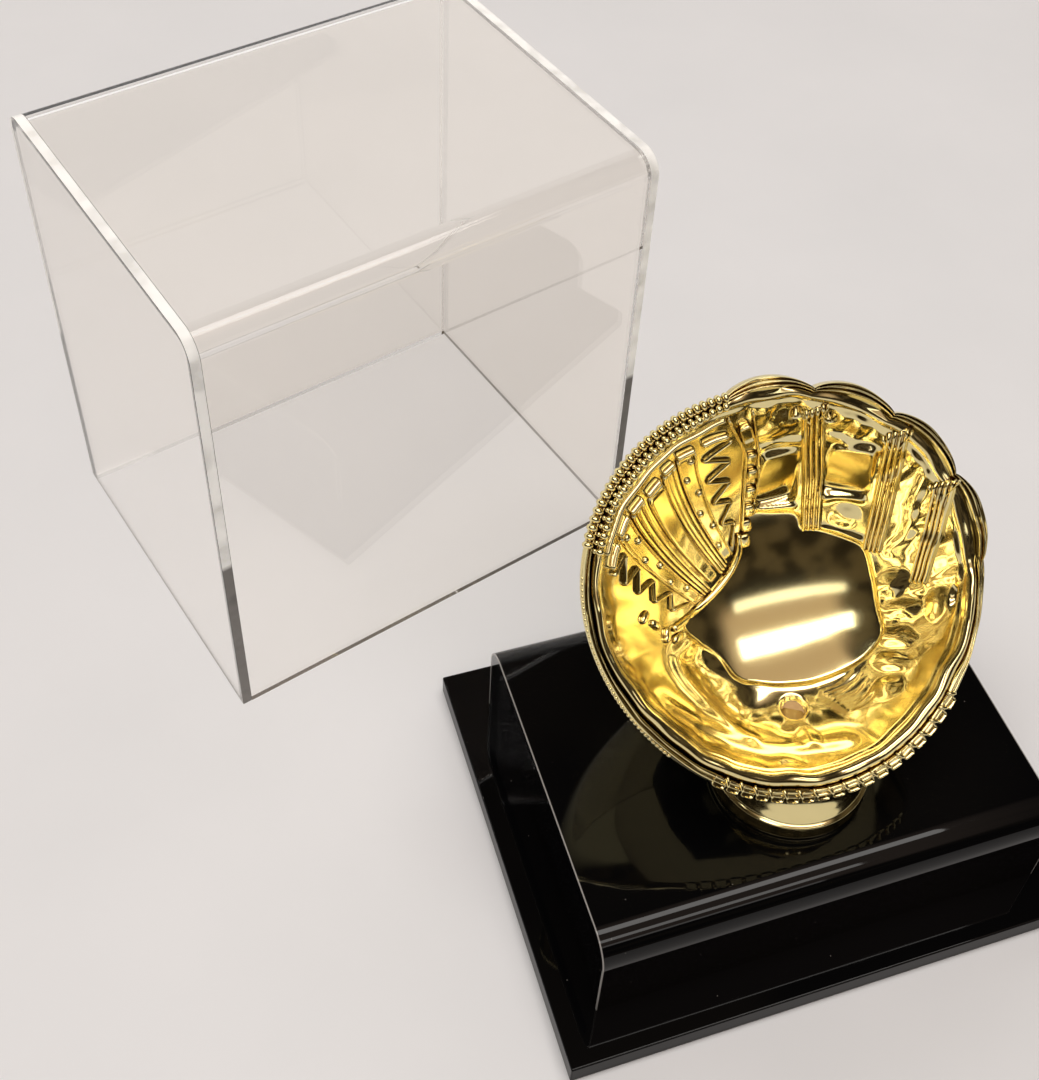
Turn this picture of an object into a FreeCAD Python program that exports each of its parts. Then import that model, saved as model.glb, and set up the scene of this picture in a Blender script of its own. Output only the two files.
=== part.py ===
"""Ball display case: a glove-shaped ball holder on a two-tier black base, with a clear lift-off cover.

The origin is the centre of the base plate's underside. +Z is up, +X runs along the base's width and
-Y is the front. The cover stands on the same table beside the base, taken off. Lengths are millimetres.
"""
import FreeCAD, Part
import math
import os

os.makedirs("parts", exist_ok=True)

# Cover: a sheet bent over front, top and back, closed by two flat side panels
cover_width = 122.0
cover_depth = 95.0
cover_height = 130.0
cover_sheet = 2.5
cover_bend_radius = 6.0
cover_edge_break = 0.2
cover_away_x = -72.4
cover_away_y = 126.5
cover_turn = 17.0

# Base: a flat plate that the cover stands on and a riser that the cover drops around
plate_margin_side = 5.0
plate_margin_front = 5.5
plate_thickness = 6.0
plate_edge_break = 0.4
cover_play_side = 2.0
cover_play_front = 3.0
riser_height = 27.0
riser_sheet = 3.0
riser_bend_radius = 7.0
riser_panel_thickness = 3.0
riser_panel_inset = 0.8

# Ball pocket of the glove
ball_radius = 37.0
ball_play = 2.0
pocket_centre_y = -4.0
pocket_lift = 49.0

# Mouth of the glove: a tilted round rim, drawn out towards the web, with four fingertips
mouth_tilt = 47.0
mouth_centre_x = -1.3
mouth_centre_y = 3.7
mouth_lift = 49.7
mouth_radius = 46.4
mouth_stretch = 1.5
mouth_stretch_angle = 148.0
mouth_swell = 0.8
rim_roll_height = 2.4
flare_end = 62.0
flare_power = 1.6
fingertip_count = 4
fingertip_start = -4.0
fingertip_span = 26.0
fingertip_rise = 2.7
fingertip_bluntness = 0.7
finger_end = 75.0

# Two mouldings of the glove, glued wall to wall
palm_wall = 2.0
back_wall = 2.2
glue_gap = 0.2
pole_angle = 85.0
palm_hole_radius = 3.2
palm_hole_x = 3.6
palm_hole_y = -3.1
ring_points = 90

# Stem under the glove and the screw that holds it
stem_axis_y = -10.3
stem_foot_radius = 17.2
stem_foot_height = 0.8
stem_band_height = 3.0
stem_band_rise = 1.3
stem_bead_height = 0.9
stem_bead_rise = 0.9
stem_cup_radius = 19.6
stem_reach = 16.0
screw_radius = 2.0
screw_head_radius = 3.8
screw_head_height = 2.4
screw_grip = 4.5
screw_play = 0.25
thread_play = 0.05
recess_width = 1.0
recess_length = 4.4
recess_depth = 1.4
washer_radius = 5.5
washer_thickness = 1.0

# Worked out from the sizes above
cover_inner_width = cover_width - 2 * cover_sheet
cover_inner_depth = cover_depth - 2 * cover_sheet
plate_width = cover_width + 2 * plate_margin_side
plate_depth = cover_depth + 2 * plate_margin_front
riser_width = cover_inner_width - 2 * cover_play_side
riser_depth = cover_inner_depth - 2 * cover_play_front
riser_top = plate_thickness + riser_height
sheet_underside = riser_top - riser_sheet
up = FreeCAD.Vector(0, 0, 1)


def centred_box(width, depth, height, bottom):
    """A block centred on the Z axis, standing on the height called bottom."""
    corner = FreeCAD.Vector(-width / 2, -depth / 2, bottom)
    return Part.makeBox(width, depth, height, corner)


def broken_edges(solid, size):
    """The solid with every edge rounded a little, as polished acrylic is."""
    return solid.makeFillet(size, solid.Edges)


def arched_block(width, depth, height, bottom, radius):
    """A block whose two long top edges are rounded, front and back."""
    block = centred_box(width, depth, height, bottom)
    top = bottom + height
    bends = []
    for edge in block.Edges:
        middle = edge.CenterOfMass
        along_x = abs(edge.Vertexes[0].X - edge.Vertexes[1].X) > width / 2
        if along_x and abs(middle.z - top) < radius / 2:
            bends.append(edge)
    return block.makeFillet(radius, bends)


def bent_sheet(width, depth, height, bottom, sheet, radius):
    """A sheet bent down at the front and the back, open below and at both ends."""
    outside = arched_block(width, depth, height, bottom, radius)
    inside = arched_block(2 * width, depth - 2 * sheet, height - sheet, bottom, radius - sheet)
    below = centred_box(2 * width, depth - 2 * sheet, height / 2, bottom - height / 4)
    return outside.cut(inside.fuse(below)).removeSplitter()


def save(name, shape):
    """Writes one piece and reports whether it is sound."""
    shape.exportStep("parts/" + name + ".step")
    box = shape.BoundBox
    print(name, "solids", len(shape.Solids), "valid", shape.isValid(), "volume", round(shape.Volume, 1),
          "x", round(box.XMin, 2), round(box.XMax, 2), "y", round(box.YMin, 2), round(box.YMax, 2),
          "z", round(box.ZMin, 2), round(box.ZMax, 2))


def beside_base(shape):
    """A cover piece moved from its seat's axis to where it stands beside the base."""
    turned = shape.copy()
    turned.rotate(FreeCAD.Vector(0, 0, 0), up, cover_turn)
    turned.translate(FreeCAD.Vector(cover_away_x, cover_away_y, 0))
    return turned


def make_cover():
    """The bent sheet and the two side panels that close its ends."""
    sheet = bent_sheet(cover_inner_width, cover_depth, cover_height, 0, cover_sheet, cover_bend_radius)
    save("cover_bent_sheet", beside_base(sheet))
    for name, side in (("cover_left_panel", -1), ("cover_right_panel", 1)):
        panel = arched_block(cover_sheet, cover_depth, cover_height, 0, cover_bend_radius)
        panel = broken_edges(panel, cover_edge_break)
        panel.translate(FreeCAD.Vector(side * (cover_width - cover_sheet) / 2, 0, 0))
        save(name, beside_base(panel))


def make_base():
    """The plate, the riser's bent sheet with its screw hole, and the riser's two end panels."""
    plate = centred_box(plate_width, plate_depth, plate_thickness, 0)
    save("base_plate", broken_edges(plate, plate_edge_break))
    sheet = bent_sheet(riser_width, riser_depth, riser_height, plate_thickness,
                       riser_sheet, riser_bend_radius)
    hole_foot = FreeCAD.Vector(0, stem_axis_y, sheet_underside - riser_sheet)
    sheet = sheet.cut(Part.makeCylinder(screw_radius + screw_play, 3 * riser_sheet, hole_foot))
    save("riser_bent_sheet", sheet)
    for name, side in (("riser_left_panel", -1), ("riser_right_panel", 1)):
        panel = arched_block(riser_panel_thickness, riser_depth - 2 * riser_sheet,
                             riser_height - riser_sheet, plate_thickness, riser_bend_radius - riser_sheet)
        shift = riser_width / 2 - riser_panel_inset - riser_panel_thickness / 2
        panel.translate(FreeCAD.Vector(side * shift, 0, 0))
        save(name, panel)


# Directions of the glove's mouth: across, up along the rim's plane, and out of the mouth
tilt = math.radians(mouth_tilt)
across = FreeCAD.Vector(1, 0, 0)
uphill = FreeCAD.Vector(0, math.cos(tilt), math.sin(tilt))
outward = FreeCAD.Vector(0, -math.sin(tilt), math.cos(tilt))
mouth_centre = FreeCAD.Vector(mouth_centre_x, mouth_centre_y, riser_top + mouth_lift)
pocket_centre = FreeCAD.Vector(0, pocket_centre_y, riser_top + pocket_lift)
pocket_radius = ball_radius + ball_play


def spoke(angle):
    """Unit direction in the mouth's plane: 0 points to +X and a quarter turn points uphill."""
    return across * math.cos(angle) + uphill * math.sin(angle)


def fingertip(angle):
    """From 0 between fingers to 1 at the middle of a fingertip, and 0 away from the fingers."""
    span = math.radians(fingertip_span)
    turn = (angle - math.radians(fingertip_start)) % (2 * math.pi)
    if turn > fingertip_count * span:
        return 0.0
    return abs(math.sin(math.pi * turn / span)) ** fingertip_bluntness


def rim_radius(angle, inset, tips):
    """Radius of the mouth's rim, less an inset, with the share of the fingertips called tips."""
    swell = mouth_swell * math.sin(3 * angle)
    stretch = mouth_stretch * math.cos(2 * (angle - math.radians(mouth_stretch_angle)))
    return mouth_radius - inset + swell + stretch + tips * fingertip_rise * fingertip(angle)


def wall_point(angle, latitude, wall, inset, tips):
    """A point of the bowl: a sphere round the ball, flaring out to meet the rim."""
    mouth_drop = (pocket_centre - mouth_centre).dot(outward)
    radius = pocket_radius + wall
    start = math.asin(mouth_drop / radius)
    finger = tips * fingertip_rise * fingertip(angle) * max(0.0, 1 - latitude / math.radians(finger_end))
    direction = spoke(angle) * math.cos(latitude) - outward * math.sin(latitude)
    rim_direction = spoke(angle) * math.cos(start) - outward * math.sin(start)
    on_sphere = pocket_centre + direction * (radius + finger)
    sphere_rim = pocket_centre + rim_direction * (radius + finger)
    rim = mouth_centre + spoke(angle) * rim_radius(angle, inset, tips)
    left = max(0.0, 1 - (latitude - start) / (math.radians(flare_end) - start))
    return on_sphere + (rim - sphere_rim) * left ** flare_power


def ring(point_at):
    """A closed smooth curve through points taken round the mouth's axis."""
    points = [point_at(2 * math.pi * step / ring_points) for step in range(ring_points)]
    curve = Part.BSplineCurve()
    curve.interpolate(Points=points, PeriodicFlag=True)
    return Part.Wire([curve.toShape()])


def wall_rings(wall, inset, tips):
    """Rings down one face of a bowl wall, from the rim to the pole."""
    mouth_drop = (pocket_centre - mouth_centre).dot(outward)
    start = math.degrees(math.asin(mouth_drop / (pocket_radius + wall)))
    shares = (0.0, 0.1, 0.22, 0.36, 0.52, 0.7, 0.86, 1.0)
    rings = []
    for share in shares:
        latitude = math.radians(start + share * (pole_angle - start))
        rings.append(ring(lambda angle: wall_point(angle, latitude, wall, inset, tips)))
    return rings


def roll_rings(outer_inset, inner_inset, tips):
    """Rings over the rolled edge between the outer and the inner face of a wall."""
    rings = []
    for share, height in ((0.12, 0.7), (0.5, 1.0), (0.88, 0.7)):
        inset = outer_inset + share * (inner_inset - outer_inset)
        middle = mouth_centre + outward * (height * rim_roll_height)
        rings.append(ring(lambda angle: middle + spoke(angle) * rim_radius(angle, inset, tips)))
    return rings


def bowl_shell(outer_wall, inner_wall, outer_inset, inner_inset, tips):
    """A bowl wall as one skin: up the outside, over the rolled rim and down the inside."""
    outside = wall_rings(outer_wall, outer_inset, tips)
    inside = wall_rings(inner_wall, inner_inset, tips)
    return Part.makeLoft(outside[::-1] + roll_rings(outer_inset, inner_inset, tips) + inside, True, False)


def stem_outline():
    """Half section of the stem: a foot, a round band, a thin bead and a cup that widens to the bowl."""
    def at(radius, height):
        return FreeCAD.Vector(radius, stem_axis_y, riser_top + height)
    edges = [Part.LineSegment(at(0, 0), at(stem_foot_radius, 0)),
             Part.LineSegment(at(stem_foot_radius, 0), at(stem_foot_radius, stem_foot_height))]
    height = stem_foot_height
    for tall, rise in ((stem_band_height, stem_band_rise), (stem_bead_height, stem_bead_rise)):
        crown = at(stem_foot_radius + rise, height + tall / 2)
        edges.append(Part.Arc(at(stem_foot_radius, height), crown, at(stem_foot_radius, height + tall)))
        height += tall
    edges.append(Part.LineSegment(at(stem_foot_radius, height), at(stem_cup_radius, stem_reach)))
    edges.append(Part.LineSegment(at(stem_cup_radius, stem_reach), at(0, stem_reach)))
    edges.append(Part.LineSegment(at(0, stem_reach), at(0, 0)))
    return Part.Face(Part.Wire([edge.toShape() for edge in edges]))


def make_glove():
    """The two glued mouldings of the glove and the stem cut to the bowl's underside."""
    middle_wall = palm_wall + glue_gap
    outer_wall = middle_wall + back_wall
    palm_inset = outer_wall
    middle_inset = back_wall
    palm = bowl_shell(palm_wall, 0, middle_inset + glue_gap, palm_inset, 0)
    back = bowl_shell(outer_wall, middle_wall, 0, middle_inset, 1)
    axis_foot = FreeCAD.Vector(0, stem_axis_y, riser_top)
    stem = stem_outline().revolve(axis_foot, up, 360)
    stem = min(stem.cut(back).Solids, key=lambda solid: solid.BoundBox.ZMin)
    grip_hole = Part.makeCylinder(screw_radius + thread_play, screw_grip + thread_play, axis_foot)
    save("glove_stem", stem.cut(grip_hole))
    hole_foot = FreeCAD.Vector(palm_hole_x, palm_hole_y, riser_top)
    save("glove_palm_shell", palm.cut(Part.makeCylinder(palm_hole_radius, pocket_lift, hole_foot)))
    save("glove_back_shell", back)


def make_screw():
    """The washer under the riser's top and the cross-recessed screw that clamps the stem."""
    washer_top = FreeCAD.Vector(0, stem_axis_y, sheet_underside)
    washer_foot = washer_top - up * washer_thickness
    washer = Part.makeCylinder(washer_radius, washer_thickness, washer_foot)
    washer = washer.cut(Part.makeCylinder(screw_radius + screw_play, washer_thickness, washer_foot))
    save("stem_washer", washer)
    head_foot = washer_foot - up * screw_head_height
    shank_length = washer_thickness + riser_sheet + screw_grip
    head = Part.makeCylinder(screw_head_radius, screw_head_height, head_foot)
    screw = head.fuse(Part.makeCylinder(screw_radius, shank_length, washer_foot)).removeSplitter()
    for width, depth in ((recess_length, recess_width), (recess_width, recess_length)):
        slot = centred_box(width, depth, recess_depth, head_foot.z)
        slot.translate(FreeCAD.Vector(0, stem_axis_y, 0))
        screw = screw.cut(slot)
    save("stem_screw", screw)


make_cover()
make_base()
make_glove()
make_screw()
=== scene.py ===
# %% [markdown]
# # A gold glove that holds a ball, on a black base, with its clear cover beside it
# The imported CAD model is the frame: it gives every piece its place and size in metres. Its plain sheets stay
# as they are and get finishes. The glove's mouldings are carved all over, which solids do badly, so they are
# modelled here again as fine meshes on the same formula, with the carving on top.

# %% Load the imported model
import math
import bmesh
import bpy
import numpy as np
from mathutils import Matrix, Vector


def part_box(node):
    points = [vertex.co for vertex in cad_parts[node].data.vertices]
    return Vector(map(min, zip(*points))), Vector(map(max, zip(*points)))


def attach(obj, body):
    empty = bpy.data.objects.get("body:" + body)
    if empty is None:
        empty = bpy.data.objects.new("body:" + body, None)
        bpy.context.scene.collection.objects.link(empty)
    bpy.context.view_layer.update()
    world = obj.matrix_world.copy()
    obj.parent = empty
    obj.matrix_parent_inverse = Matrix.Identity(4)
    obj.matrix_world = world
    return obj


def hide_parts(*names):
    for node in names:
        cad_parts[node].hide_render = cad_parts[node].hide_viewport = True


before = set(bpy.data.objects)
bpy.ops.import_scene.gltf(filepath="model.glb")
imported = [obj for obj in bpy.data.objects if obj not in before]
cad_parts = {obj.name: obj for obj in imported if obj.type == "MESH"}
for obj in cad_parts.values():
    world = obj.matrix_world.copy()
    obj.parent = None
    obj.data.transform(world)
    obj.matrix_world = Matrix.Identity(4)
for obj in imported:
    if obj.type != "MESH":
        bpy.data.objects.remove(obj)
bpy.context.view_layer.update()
mm = 0.001

# %% [markdown]
# Colours are easiest to choose as sRGB hex values, and Blender's shaders want linear light, so one function
# turns the one into the other. A second small function adds a node, sets its sockets and links it. Everything
# in the materials below is made with these two. A Mix node that is set to colours has its factor at socket 0,
# its two colours at 6 and 7, and its result at output 2.


# %% Helpers for materials
def linear(hex_colour):
    """An sRGB hex colour as linear red, green, blue and alpha."""
    shares = [int(hex_colour[at:at + 2], 16) / 255 for at in (1, 3, 5)]
    return [s / 12.92 if s <= 0.04045 else ((s + 0.055) / 1.055) ** 2.4 for s in shares] + [1.0]


def add(tree, kind, sockets=(), **settings):
    """Adds a node with its settings; sockets is pairs of a socket's name or number and a value or a link."""
    made = tree.nodes.new("ShaderNode" + kind)
    for name, value in settings.items():
        setattr(made, name, value)
    for name, value in sockets:
        if isinstance(value, bpy.types.NodeSocket):
            tree.links.new(value, made.inputs[name])
        else:
            made.inputs[name].default_value = value
    return made


def new_material(name):
    """An empty node material, its tree, and the object coordinates that its patterns are laid out in."""
    material = bpy.data.materials.new(name)
    material.use_nodes = True
    tree = material.node_tree
    tree.nodes.clear()
    return material, tree, add(tree, "TexCoord").outputs["Object"]


def per_metre(size_mm):
    """The texture scale that makes a pattern's feature about this many millimetres wide."""
    return 1 / (size_mm * mm)


print("helpers ready")

# %% [markdown]
# The glove is a plastic moulding with a vacuum metallised gold finish: a very thin bright metal layer under a
# yellow lacquer. One reflection looks champagne, and light that bounces twice or more inside the bowl turns
# a deep yellow by itself, so the base colour is the pale one: a yellow one would turn brown there. Narrow nooks
# get painted shade, a dark brown that ambient occlusion over a short reach finds. The moulding's
# faint waviness shows as wobbling reflections. The ball's seat has one even polish and handling has left the
# rest uneven, which an attribute called polish on the mesh tells the shader.


# %% Gold finish
nook_shade_reach = 2.2 * mm
handled_roughness = (0.08, 0.13)
seat_roughness = 0.11


def make_gold():
    gold, tree, place = new_material("metallised gold on moulded ABS")
    cloud = add(tree, "TexNoise", [("Vector", place), ("Scale", per_metre(14)), ("Detail", 3.0)])
    touch = add(tree, "TexNoise", [("Vector", place), ("Scale", per_metre(2.2)), ("Detail", 5.0)])
    wave = add(tree, "TexNoise", [("Vector", place), ("Scale", per_metre(3.2)), ("Detail", 1.5)])
    colour = add(tree, "Mix", [(0, cloud.outputs["Fac"]), (6, linear("#F1DF9F")), (7, linear("#F5E8B0"))],
                 data_type="RGBA")
    # painted shade: ambient occlusion paints the narrow nooks a dark brown
    nook = add(tree, "AmbientOcclusion", [("Distance", nook_shade_reach)], samples=6)
    open_share = add(tree, "MapRange", [("Value", nook.outputs["AO"]), ("From Min", 0.22), ("From Max", 0.68)],
                     interpolation_type="SMOOTHSTEP")
    painted_nook_shade = add(tree, "Mix", [(0, open_share.outputs["Result"]), (6, linear("#7E5319")), (7, colour.outputs[2])],
                 data_type="RGBA")
    polish = add(tree, "Attribute", attribute_name="polish").outputs["Fac"]
    satin = add(tree, "MapRange", [("Value", touch.outputs["Fac"]), ("From Min", 0.35), ("From Max", 0.75),
                                   ("To Min", handled_roughness[0]), ("To Max", handled_roughness[1])])
    rough = add(tree, "MapRange", [("Value", polish), ("To Min", satin.outputs["Result"]),
                                   ("To Max", seat_roughness)])
    bump = add(tree, "Bump", [("Height", wave.outputs["Fac"]), ("Strength", 0.12), ("Distance", 0.05 * mm)])
    shader = add(tree, "BsdfPrincipled", [("Base Color", painted_nook_shade.outputs[2]), ("Metallic", 1.0),
                                          ("Roughness", rough.outputs["Result"]),
                                          ("Normal", bump.outputs["Normal"])])
    add(tree, "OutputMaterial", [("Surface", shader.outputs["BSDF"])])
    return gold


gold = make_gold()
print(gold.name)

# %% [markdown]
# The hole at the bottom of the pocket goes through the inner moulding only. Behind it is the inner face of the
# outer moulding, which the metal vapour never reached: bare tan plastic, matt and slightly mottled.


# %% Bare plastic behind the hole
def make_bare_plastic():
    plastic, tree, place = new_material("bare moulded ABS")
    mottle = add(tree, "TexNoise", [("Vector", place), ("Scale", per_metre(1.2)), ("Detail", 4.0)])
    colour = add(tree, "Mix", [(0, mottle.outputs["Fac"]), (6, linear("#B58E5E")), (7, linear("#CDAA7B"))],
                 data_type="RGBA")
    bump = add(tree, "Bump", [("Height", mottle.outputs["Fac"]), ("Strength", 0.3), ("Distance", 0.05 * mm)])
    shader = add(tree, "BsdfPrincipled", [("Base Color", colour.outputs[2]), ("Roughness", 0.45),
                                          ("Normal", bump.outputs["Normal"])])
    add(tree, "OutputMaterial", [("Surface", shader.outputs["BSDF"])])
    return plastic


bare_plastic = make_bare_plastic()
print(bare_plastic.name)

# %% [markdown]
# The base is cast black acrylic with its polish: almost no colour of its own, so nearly all that the eye sees
# is reflection. Wiping leaves hairline marks, and a few specks of dust settle on it. Both are far too fine to
# show at their real width and are drawn as fine as the render can hold. Along the sharp outer edge at the ends
# of the riser's bent sheet, a thin pale grey line is a painted highlight. That line is found by place: at
# the sheet's ends, and just under its bent skin. The plate's sides were left as the saw cut them, so they hardly
# mirror the pale table.


# %% Black acrylic
acrylic_ior = 1.49
sheet_gloss = 0.28
sawn_gloss = 0.06
wipe_turn = math.radians(24)
riser_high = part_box("riser_bent_sheet")[1]
sheet_end = riser_high.x
bend_radius = 7 * mm
bend_y = riser_high.y - bend_radius
bend_z = riser_high.z - bend_radius
end_highlight_width = 0.3 * mm
skin_highlight_depth = 0.6 * mm
highlight_blur = 0.2 * mm


def make_black_acrylic(name, edge_highlight=False, sawn_sides=False):
    black, tree, place = new_material(name)
    stretch = add(tree, "Mapping", [("Vector", place), ("Rotation", (0.0, 0.0, wipe_turn)),
                                    ("Scale", (1.0, 26.0, 1.0))])
    wipe = add(tree, "TexNoise", [("Vector", stretch.outputs["Vector"]), ("Scale", per_metre(9)),
                                  ("Detail", 6.0), ("Roughness", 0.7)])
    smear = add(tree, "TexNoise", [("Vector", place), ("Scale", per_metre(22)), ("Detail", 2.0)])
    speck = add(tree, "TexVoronoi", [("Vector", place), ("Scale", per_metre(5.5))], feature="F1")
    dust = add(tree, "MapRange", [("Value", speck.outputs["Distance"]), ("From Min", 0.02),
                                  ("From Max", 0.035), ("To Min", 1.0), ("To Max", 0.0)])
    colour = add(tree, "Mix", [(0, dust.outputs["Result"]), (6, linear("#060607")), (7, linear("#5E5A56"))],
                 data_type="RGBA")
    shown = colour.outputs[2]
    if edge_highlight:
        spread = add(tree, "VectorMath", [(0, place)], operation="ABSOLUTE")
        off_end = add(tree, "SeparateXYZ", [(0, spread.outputs["Vector"])]).outputs["X"]
        end = add(tree, "MapRange", [("Value", off_end), ("From Min", sheet_end - end_highlight_width),
                                     ("From Max", sheet_end - end_highlight_width + highlight_blur)])
        bend = add(tree, "VectorMath", [(0, spread.outputs["Vector"]), (1, (1.0, bend_y, bend_z))],
                   operation="SUBTRACT")
        corner = add(tree, "VectorMath", [(0, bend.outputs["Vector"])], operation="MAXIMUM")
        skin_depth = add(tree, "VectorMath", [(0, corner.outputs["Vector"])], operation="LENGTH")
        rim = add(tree, "MapRange", [("Value", skin_depth.outputs["Value"]),
                                     ("From Min", bend_radius - skin_highlight_depth),
                                     ("From Max", bend_radius - skin_highlight_depth + highlight_blur)])
        # painted highlight: a thin pale grey line along the bent sheet's outer edge at its ends
        arris = add(tree, "Math", [(0, end.outputs["Result"]), (1, rim.outputs["Result"])], operation="MULTIPLY")
        shown = add(tree, "Mix", [(0, arris.outputs["Value"]), (6, shown), (7, linear("#A9A6A2"))],
                    data_type="RGBA").outputs[2]
    marks = add(tree, "MapRange", [("Value", wipe.outputs["Fac"]), ("From Min", 0.55), ("From Max", 0.75),
                                   ("To Min", 0.015), ("To Max", 0.09)])
    rough = add(tree, "Math", [(0, smear.outputs["Fac"]), (1, 0.02), (2, marks.outputs["Result"])],
                operation="MULTIPLY_ADD")
    gloss = sheet_gloss
    if sawn_sides:
        upward = add(tree, "SeparateXYZ", [(0, add(tree, "NewGeometry").outputs["Normal"])]).outputs["Z"]
        lying = add(tree, "Math", [(0, upward)], operation="ABSOLUTE")
        gloss = add(tree, "MapRange", [("Value", lying.outputs["Value"]), ("From Min", 0.3), ("From Max", 0.7),
                                       ("To Min", sawn_gloss), ("To Max", sheet_gloss)]).outputs["Result"]
    shader = add(tree, "BsdfPrincipled", [("Base Color", shown), ("Roughness", rough.outputs["Value"]),
                                          ("IOR", acrylic_ior), ("Specular IOR Level", gloss)])
    add(tree, "OutputMaterial", [("Surface", shader.outputs["BSDF"])])
    return black


black_acrylic = make_black_acrylic("polished black cast acrylic")
black_plate = make_black_acrylic("polished black acrylic with sawn sides", sawn_sides=True)
black_bent_sheet = make_black_acrylic("polished black acrylic with a painted edge highlight", edge_highlight=True)
print(black_acrylic.name, black_plate.name, black_bent_sheet.name, sep=", ")

# %% [markdown]
# The cover is clear acrylic sheet. Its faces are as smooth as glass, but the two end panels are sawn and only
# scraped smooth along their edges, which look like pale satin bands; near the table they are painted grey, as
# painted shade. An edge is told from a face by the direction it points in: a panel's faces point along the
# cover's width and its edges don't. The sheet pipes light to its edges, which a translucent share adds to their
# own, also painted dim near the table. Light that falls on the table could be traced through the sheet, but that
# is slow and grainy, and thin sheet hardly bends it. So such light passes straight, and the cover's shadow is left
# empty.


# %% Clear acrylic
cover_turn = math.radians(17.0)
cover_width_axis = (math.cos(cover_turn), math.sin(cover_turn), 0.0)
grey_edge_height = 56 * mm
grey_edge_blur = 2 * mm


def make_clear_acrylic(name, sawn_edges):
    clear, tree, place = new_material(name)
    smudge = add(tree, "TexNoise", [("Vector", place), ("Scale", per_metre(16)), ("Detail", 6.0)])
    rough = add(tree, "MapRange", [("Value", smudge.outputs["Fac"]), ("From Min", 0.5), ("From Max", 0.8),
                                   ("To Min", 0.0), ("To Max", 0.04)])
    sheet = add(tree, "BsdfPrincipled", [("Base Color", linear("#FEFCF9")), ("Transmission Weight", 1.0),
                                         ("Roughness", rough.outputs["Result"]), ("IOR", acrylic_ior)])
    surface = sheet.outputs["BSDF"]
    if sawn_edges:
        grit = add(tree, "TexNoise", [("Vector", place), ("Scale", per_metre(0.6)), ("Detail", 4.0)])
        patch = add(tree, "TexNoise", [("Vector", place), ("Scale", per_metre(7)), ("Detail", 3.0)])
        pale = add(tree, "Mix", [(0, patch.outputs["Fac"]), (6, linear("#E2E1DD")), (7, linear("#FBFBFA"))],
                   data_type="RGBA")
        height = add(tree, "SeparateXYZ", [(0, place)]).outputs["Z"]
        # painted shade: below this height the edges are painted grey
        upper = add(tree, "MapRange", [("Value", height), ("From Min", grey_edge_height),
                                       ("From Max", grey_edge_height + grey_edge_blur)])
        frost_and_painted_shade = add(tree, "Mix", [(0, upper.outputs["Result"]), (6, linear("#77736F")), (7, pale.outputs[2])],
                    data_type="RGBA")
        bump = add(tree, "Bump", [("Height", grit.outputs["Fac"]), ("Strength", 0.4), ("Distance", 0.05 * mm)])
        scraped = add(tree, "BsdfPrincipled", [("Base Color", frost_and_painted_shade.outputs[2]), ("Roughness", 0.38),
                                               ("IOR", acrylic_ior), ("Normal", bump.outputs["Normal"])])
        # painted shade: the light piped to the edges is painted dim below the same height
        glow = add(tree, "Mix", [(0, upper.outputs["Result"]), (6, linear("#2B2A28")), (7, linear("#A3A3A0"))],
                   data_type="RGBA")
        piped = add(tree, "BsdfTranslucent", [("Color", glow.outputs[2])])
        satin = add(tree, "AddShader", [(0, scraped.outputs["BSDF"]), (1, piped.outputs["BSDF"])])
        normal = add(tree, "NewGeometry").outputs["Normal"]
        facing = add(tree, "VectorMath", [(0, normal), (1, cover_width_axis)], operation="DOT_PRODUCT")
        square = add(tree, "Math", [(0, facing.outputs["Value"]), (1, facing.outputs["Value"])],
                     operation="MULTIPLY")
        edge = add(tree, "MapRange", [("Value", square.outputs["Value"]), ("From Min", 0.2),
                                      ("From Max", 0.6), ("To Min", 1.0), ("To Max", 0.0)])
        worn = add(tree, "MapRange", [("Value", patch.outputs["Fac"]), ("From Min", 0.36), ("From Max", 0.56),
                                      ("To Min", 0.78), ("To Max", 1.0)])
        frosted = add(tree, "Math", [(0, edge.outputs["Result"]), (1, worn.outputs["Result"])],
                      operation="MULTIPLY")
        surface = add(tree, "MixShader", [(0, frosted.outputs["Value"]), (1, surface),
                                          (2, satin.outputs["Shader"])]).outputs["Shader"]
    empty = add(tree, "BsdfTransparent", [("Color", linear("#FEFEFE"))])
    path = add(tree, "LightPath")
    passing = add(tree, "Math", [(0, path.outputs["Is Shadow Ray"]), (1, path.outputs["Is Diffuse Ray"])],
                  operation="MAXIMUM")
    mixed = add(tree, "MixShader", [(0, passing.outputs["Value"]), (1, surface), (2, empty.outputs["BSDF"])])
    add(tree, "OutputMaterial", [("Surface", mixed.outputs["Shader"])])
    return clear


clear_sheet = make_clear_acrylic("clear acrylic sheet", sawn_edges=False)
clear_panel = make_clear_acrylic("clear acrylic with scraped edges", sawn_edges=True)
print(clear_sheet.name, "and", clear_panel.name)

# %% [markdown]
# The screw and washer under the riser are zinc plated steel: pale grey, with the cloudy crystals that the bath
# leaves. A cell pattern is close to such crystals, and it shifts both colour and roughness.


# %% Zinc plated steel
def make_zinc():
    zinc, tree, place = new_material("zinc plated steel")
    spangle = add(tree, "TexVoronoi", [("Vector", place), ("Scale", per_metre(0.8))])
    colour = add(tree, "Mix", [(0, spangle.outputs["Distance"]), (6, linear("#C9CBCA")), (7, linear("#A9ACAD"))],
                 data_type="RGBA")
    rough = add(tree, "MapRange", [("Value", spangle.outputs["Distance"]), ("To Min", 0.25), ("To Max", 0.42)])
    shader = add(tree, "BsdfPrincipled", [("Base Color", colour.outputs[2]), ("Metallic", 1.0),
                                          ("Roughness", rough.outputs["Result"])])
    add(tree, "OutputMaterial", [("Surface", shader.outputs["BSDF"])])
    return zinc


zinc = make_zinc()
print(zinc.name)

# %% [markdown]
# Nine CAD pieces already have the right shape: sheets, plate, screw and washer. New meshes would add nothing to
# them, so they stay, and each finish goes into the material slot of the CAD object itself.

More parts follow.
